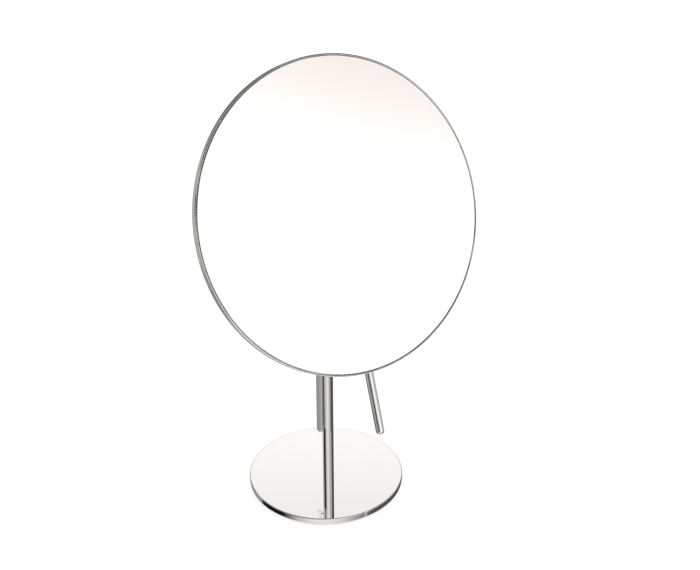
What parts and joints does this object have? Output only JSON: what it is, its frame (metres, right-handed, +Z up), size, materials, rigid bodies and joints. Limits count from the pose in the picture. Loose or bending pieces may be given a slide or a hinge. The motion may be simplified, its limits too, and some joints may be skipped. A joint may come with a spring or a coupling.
{
  "type": "extendable shaving mirror",
  "caption": "Table mirror with a round tilting glass in a thin polished rim, on a flat bar that slides beside a thin post on a round foot.",
  "frame": {"origin": "centre of the foot's underside, on the surface that it stands on", "axes": "+Z up, the mirror looks towards -Y, the hinge axle lies along X"},
  "size_m": [0.2028, 0.1299, 0.3136],
  "materials": {
    "polished_steel": "mirror-polished chrome plate",
    "polished_bar": "polished chrome plate, softly brushed along its length",
    "back_plate": "stainless pan, spun back and polished rim",
    "mirror_glass": "silvered glass with a polished edge",
    "adhesive": "dark bonding film",
    "rubber_sole": "matt black rubber",
    "nylon": "natural nylon",
    "brass_plug": "turned brass",
    "spring_steel": "bare spring steel",
    "plated_screw": "bright plated screw"
  },
  "bodies": {
    "stand": {"base_disc": "polished_steel", "base_pad": "rubber_sole", "base_screw": "plated_screw", "post_foot": "brass_plug", "post_tube": "polished_steel", "post_head": "brass_plug", "thrust_washer": "nylon", "swivel_washer": "plated_screw", "swivel_screw": "plated_screw"},
    "guide": {"guide_block": "polished_steel", "swivel_bush": "nylon", "swivel_disc_spring": "spring_steel", "block_cap": "polished_steel", "friction_shoe": "nylon", "shoe_disc_springs": "spring_steel", "shoe_set_screw": "plated_screw"},
    "lift": {"lift_bar": "polished_bar", "hinge_screw": "plated_screw", "hinge_washers": "nylon", "hinge_disc_spring": "spring_steel", "hinge_nut": "plated_screw"},
    "head": {"mirror_hub": "polished_steel", "hub_screws": "plated_screw", "back_plate": "back_plate", "adhesive_sheet": "adhesive", "mirror_glass": "mirror_glass", "handle_rod": "polished_steel", "handle_grub_screw": "plated_screw"}
  },
  "joints": [
    {"name": "swivel", "type": "hinge", "parent": "stand", "child": "guide", "pos_m": [0.002, 0, 0.16], "axis": [0, 0, 1], "continuous": true},
    {"name": "height", "type": "slide", "parent": "guide", "child": "lift", "axis": [0, 0, 1], "range_m": [-0.026, 0.07]},
    {"name": "tilt", "type": "hinge", "parent": "lift", "child": "head", "pos_m": [0, 0, 0.2075], "axis": [-1, 0, 0], "range_deg": [-24, 62]}
  ]
}
